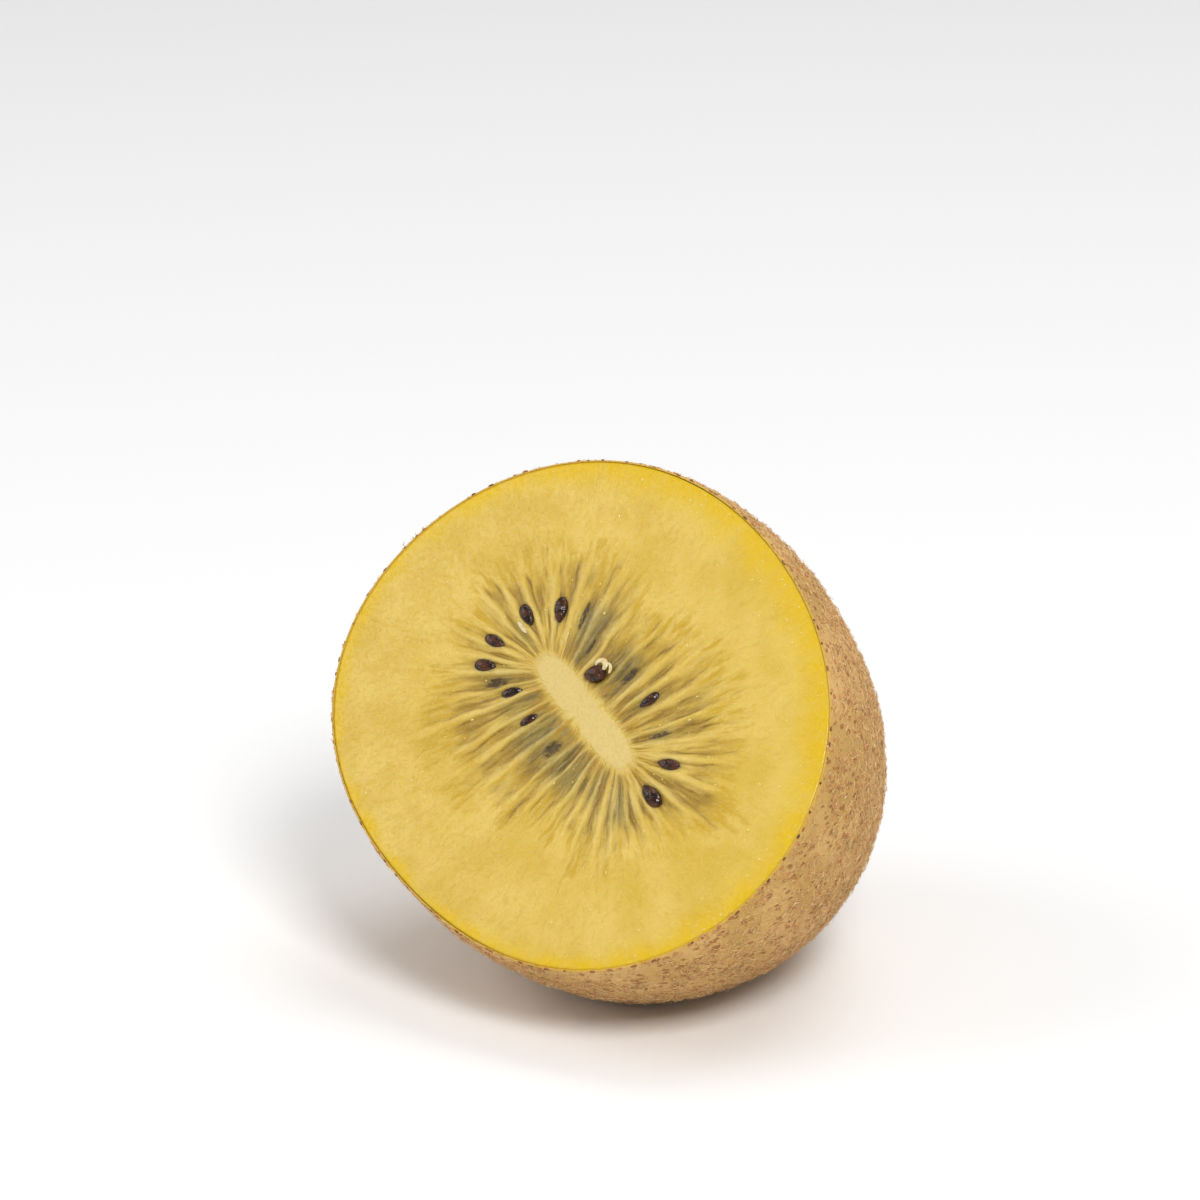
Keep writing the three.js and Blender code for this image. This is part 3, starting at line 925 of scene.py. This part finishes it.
grown = bmesh.new()
along, across = COAT_FINENESS
for number, (bearing, share, length, width, twist, rise) in enumerate(SEEDS):
    spot, heading = lying_on_ray(bearing, share)
    egg = bmesh.ops.create_uvsphere(grown, u_segments=56, v_segments=36, radius=0.5)["verts"]
    bmesh.ops.rotate(grown, verts=egg, matrix=Matrix.Rotation(math.pi / 2, 3, "Y"))
    for v in egg:
        slim = (1 + SEED_TAPER * v.co.x) * (1 - max(0, -v.co.x) ** 2)
        coat = Vector((v.co.x * along, v.co.y * across, v.co.z * across + 7 * number))
        pit = COAT_DENT * noise.noise(coat) - COAT_DENT * max(0, noise.noise(coat * COAT_PITS) - 0.05)
        v.co = Vector((v.co.x, v.co.y * slim, v.co.z * slim)) * (1 + pit)
    bmesh.ops.scale(grown, verts=egg, vec=(length, width, width * SEED_THICKNESS))
    bmesh.ops.rotate(grown, verts=egg, matrix=Matrix.Rotation(heading + math.radians(twist), 3, "Z"))
    bmesh.ops.translate(grown, verts=egg, vec=(spot[0], spot[1], rise))


def finished(grown, name, surface):
    """The grown shapes as one piece, settled in the part's frame, with its material."""
    for v, point in zip(grown.verts, settled(np.array([v.co for v in grown.verts]))):
        v.co = point
    mesh = bpy.data.meshes.new(name)
    grown.to_mesh(mesh)
    grown.free()
    mesh.shade_smooth()
    mesh.materials.append(surface)
    return on_stage(name, mesh)


SEED_BLACK = (0.014, 0.005, 0.003)
SEED_BROWN = (0.075, 0.024, 0.010)
SEED_RED = (0.190, 0.065, 0.025)
SEED_PITS_PER_METRE = 4200.0

seed_material, tree, shader = material("kiwi seed")
place = object_place(tree)
pits = add(tree, "TexVoronoi", {"Vector": place, "Scale": SEED_PITS_PER_METRE}).outputs["Distance"]
colour = mixed(tree, patches(tree, place, 0.0007, 0.35, 0.65), SEED_BLACK, SEED_BROWN)
colour = mixed(tree, patches(tree, place, 0.0003, 0.62, 0.80), colour, SEED_RED)
normal = raised(tree, pits, 0.8, 0.00006)
feed(tree, shader, {
    "Base Color": colour, "Normal": normal, "Roughness": 0.10, "Specular IOR Level": 0.38,
})
seeds = finished(grown, "seeds", seed_material)

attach(seeds, "root")

# Gel and juice, with painted highlights
# Scraps of the white gel that seeds grow in cling by one seed, a flat unripe seed lies by another, and fine
# beads of juice stand on the cut, most of them near the rim.
# The gel's white is partly its own pale tone and partly a painted highlight, and the paler beads of juice are
# a painted highlight.

# The seed that the gel clings to, and the gel's height over the cut
GEL_SEED = 6
GEL_HEIGHT = 0.5
GEL_FLATNESS = 0.6
# Each curl's middle off that seed, its radius, its thickness, and the bearings where it starts and ends
GEL_CURLS = (
    (0.45, 0.95, 0.52, 0.62, -75, 195),
    (0.80, 0.60, 0.85, 0.34, -25, 65),
)
# The unripe seed's bearing, share of the way out, length and width
UNRIPE_SEED = (177.1, 0.176, 1.7, 0.50)
JUICE_BEADS = 500
JUICE_SIZE = (0.05, 0.20)
JUICE_NEAR_RIM = 0.6

grown = bmesh.new()
loose_seed, _ = lying_on_ray(*SEEDS[GEL_SEED][:2])
unripe, unripe_heading = lying_on_ray(*UNRIPE_SEED[:2])
for x, y, radius, thickness, first, last in GEL_CURLS:
    scrap = bmesh.ops.create_uvsphere(grown, u_segments=20, v_segments=24, radius=0.5)["verts"]
    for v in scrap:
        way = math.radians((first + last) / 2 + v.co.z * (last - first))
        fat = thickness * (1 + 0.3 * noise.noise(Vector((v.co.z * 2, x, y))))
        reach = radius + fat * v.co.x
        v.co = (x + reach * math.cos(way), y + reach * math.sin(way), GEL_FLATNESS * fat * v.co.y)
    bmesh.ops.translate(grown, verts=scrap, vec=(loose_seed[0], loose_seed[1], GEL_HEIGHT))
flat = bmesh.ops.create_uvsphere(grown, u_segments=20, v_segments=16, radius=0.5)["verts"]
bmesh.ops.rotate(grown, verts=flat, matrix=Matrix.Rotation(math.pi / 2, 3, "Y"))
_, _, length, width = UNRIPE_SEED
bmesh.ops.scale(grown, verts=flat, vec=(length, width, width * GEL_FLATNESS))
bmesh.ops.rotate(grown, verts=flat, matrix=Matrix.Rotation(unripe_heading, 3, "Z"))
bmesh.ops.translate(grown, verts=flat, vec=(unripe[0], unripe[1], 0.04))

# The gel's white is partly its own pale tone and partly a painted highlight, lighter than the gel itself so
# that it shows as a glint. The unripe seed takes it for its own pale colour.
GEL_WHITE_AND_GLINT = (0.740, 0.650, 0.420)

gel_and_glint_material, tree, shader = material("kiwi gel and painted glint")
ridges = patches(tree, object_place(tree), 0.0003, 0.3, 0.7)
feed(tree, shader, {
    "Base Color": mixed(tree, ridges, GEL_WHITE_AND_GLINT, CORE_CREAM),
    "Normal": raised(tree, ridges, 0.1, 0.00003),
    "Roughness": 0.3,
    "Specular IOR Level": 0.3,
    "Subsurface Weight": 0.3,
    "Subsurface Scale": 0.0006,
})
gel = finished(grown, "seed_gel", gel_and_glint_material)

rng = np.random.default_rng(41)
near_rim = rng.uniform(0, 1, JUICE_BEADS) < JUICE_NEAR_RIM
by_rim = rng.normal(RIM_WIDEST - CORE_BEARING, 1.3, JUICE_BEADS)
turn = np.where(near_rim, by_rim, rng.uniform(0, 2 * math.pi, JUICE_BEADS))
by_rim = 1 - np.abs(rng.normal(0, 0.13, JUICE_BEADS)) - 0.015
share = np.where(near_rim, by_rim, rng.uniform(0.05, 0.97, JUICE_BEADS))
spots, _ = cut_surface(turn, share)
away = on_ray(turn, share + 0.02) - on_ray(turn, share)
away = away / np.linalg.norm(away, axis=1)[:, None]
up_here = np.tile([0.0, 0.0, 1.0], (JUICE_BEADS, 1))
size = rng.uniform(*JUICE_SIZE, JUICE_BEADS)
length = size * rng.uniform(1, 2.2, JUICE_BEADS)
drops = beads(spots, away, np.cross(up_here, away), up_here, length, size, size * 0.5)
juice = strewn("juice", bead, drops, rng.uniform(0, 1, JUICE_BEADS))
bead.free()

# The pale colour is a painted highlight: the beads are painted lighter than clear juice is, so that they show
# as glints.
JUICE_PAINTED_GLINT = (0.840, 0.680, 0.230)
JUICE_GOLD = (0.700, 0.480, 0.050)

juice_glint_material, tree, shader = material("kiwi juice and painted glints")
colour = mixed(tree, attribute(tree, "shade", "Fac"), JUICE_PAINTED_GLINT, JUICE_GOLD)
feed(tree, shader, {"Base Color": colour, "Roughness": 0.08})
juice.data.materials.append(juice_glint_material)

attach(gel, "root")
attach(juice, "root")

# Studio
# A pale floor under plain soft light. The camera stands where the photograph was taken from: in front of the
# cut, a little to its right, and above it.

CAMERA_AZIMUTH = math.radians(28.316)
CAMERA_ELEVATION = math.radians(20.0)
# How far right of the middle of the cut, above it and in front of it the camera stands, in metres
CAMERA_OFF_FACE = (0.002107, 0.011057, 0.50308)
CAMERA_LENS = 150
FLOOR_REACH = 3.0
FLOOR_WHITE = (0.94, 0.94, 0.94)
LIGHTS_AIM = 0.025
WORLD_LIGHT = 0.35
# Each light's azimuth and elevation in degrees, its distance and size in metres, and its power
LIGHTS = {
    "key light": (48, 46, 0.7, 0.24, 3.0),
    "fill light": (-62, 34, 0.9, 0.6, 2.6),
    "back light": (170, 60, 0.9, 0.6, 2.6),
}

slab = bmesh.new()
bmesh.ops.create_grid(slab, x_segments=1, y_segments=1, size=FLOOR_REACH)
floor_mesh = bpy.data.meshes.new("floor")
slab.to_mesh(floor_mesh)
slab.free()
floor = on_stage("floor", floor_mesh)
floor_material, tree, shader = material("pale floor")
feed(tree, shader, {"Base Color": FLOOR_WHITE, "Roughness": 0.9})
floor_mesh.materials.append(floor_material)

sin_a, cos_a = math.sin(CAMERA_AZIMUTH), math.cos(CAMERA_AZIMUTH)
sin_e, cos_e = math.sin(CAMERA_ELEVATION), math.cos(CAMERA_ELEVATION)
right = Vector((cos_a, sin_a, 0))
up = Vector((-sin_a * sin_e, cos_a * sin_e, cos_e))
back = Vector((sin_a * cos_e, -cos_a * cos_e, sin_e))
face_middle = Vector(settled(np.zeros((1, 3)))[0])
camera_data = bpy.data.cameras.new("camera")
camera_data.lens = CAMERA_LENS
camera_data.sensor_width = 36
camera_data.clip_start = 0.01
camera = on_stage("camera", camera_data)
camera.matrix_world = Matrix((
    (right.x, up.x, back.x, 0),
    (right.y, up.y, back.y, 0),
    (right.z, up.z, back.z, 0),
    (0, 0, 0, 1),
))
off_right, off_up, off_back = CAMERA_OFF_FACE
camera.location = face_middle + right * off_right + up * off_up + back * off_back
bpy.context.scene.camera = camera


def softbox(name, azimuth, elevation, distance, size, power):
    """A square light that looks at the fruit from an azimuth and elevation, in degrees as for the camera."""
    a, e = math.radians(azimuth), math.radians(elevation)
    data = bpy.data.lights.new(name, "AREA")
    data.size = size
    data.energy = power
    light = on_stage(name, data)
    towards = Vector((math.sin(a) * math.cos(e), -math.cos(a) * math.cos(e), math.sin(e)))
    light.location = towards * distance + Vector((0, 0, LIGHTS_AIM))
    light.rotation_euler = towards.to_track_quat("Z", "Y").to_euler()


for name, values in LIGHTS.items():
    softbox(name, *values)
world = bpy.data.worlds.new("studio")
world.use_nodes = True
feed(world.node_tree, world.node_tree.nodes["Background"], {"Color": (1, 1, 1), "Strength": WORLD_LIGHT})
bpy.context.scene.world = world
bpy.context.scene.view_settings.view_transform = "Standard"
